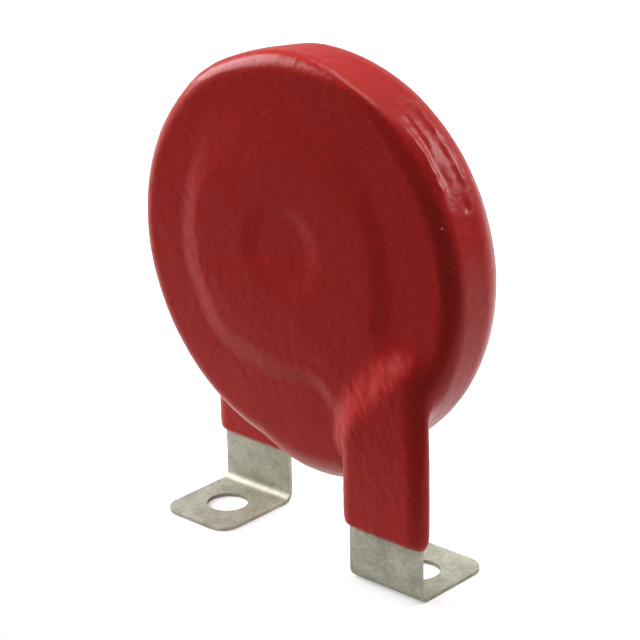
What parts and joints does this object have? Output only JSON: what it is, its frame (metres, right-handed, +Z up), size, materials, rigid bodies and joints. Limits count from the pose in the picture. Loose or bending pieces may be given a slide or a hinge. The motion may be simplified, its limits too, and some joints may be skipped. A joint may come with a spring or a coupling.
{
  "type": "metal oxide varistor",
  "caption": "Disc varistor in a red epoxy coating on two flat tinned terminals, each bent into a foot with a screw hole.",
  "frame": {"origin": "on the underside of the two feet, midway between their screw holes", "axes": "+X to the right along the face, +Y towards the rear through the thickness, +Z up from the feet to the disc"},
  "size_m": [0.0406, 0.0116, 0.0514],
  "materials": {
    "red_epoxy": "semi-gloss powder coating",
    "zinc_oxide": "matt",
    "fired_silver": "matt",
    "solder": "satin",
    "tinned_sheet": "matt tin plating"
  },
  "bodies": {
    "root": {"epoxy_coating": "red_epoxy", "zinc_oxide_disc": "zinc_oxide", "front_electrode": "fired_silver", "rear_electrode": "fired_silver", "front_solder_layer": "solder", "rear_solder_layer": "solder", "front_terminal": "tinned_sheet", "rear_terminal": "tinned_sheet"}
  },
  "joints": []
}
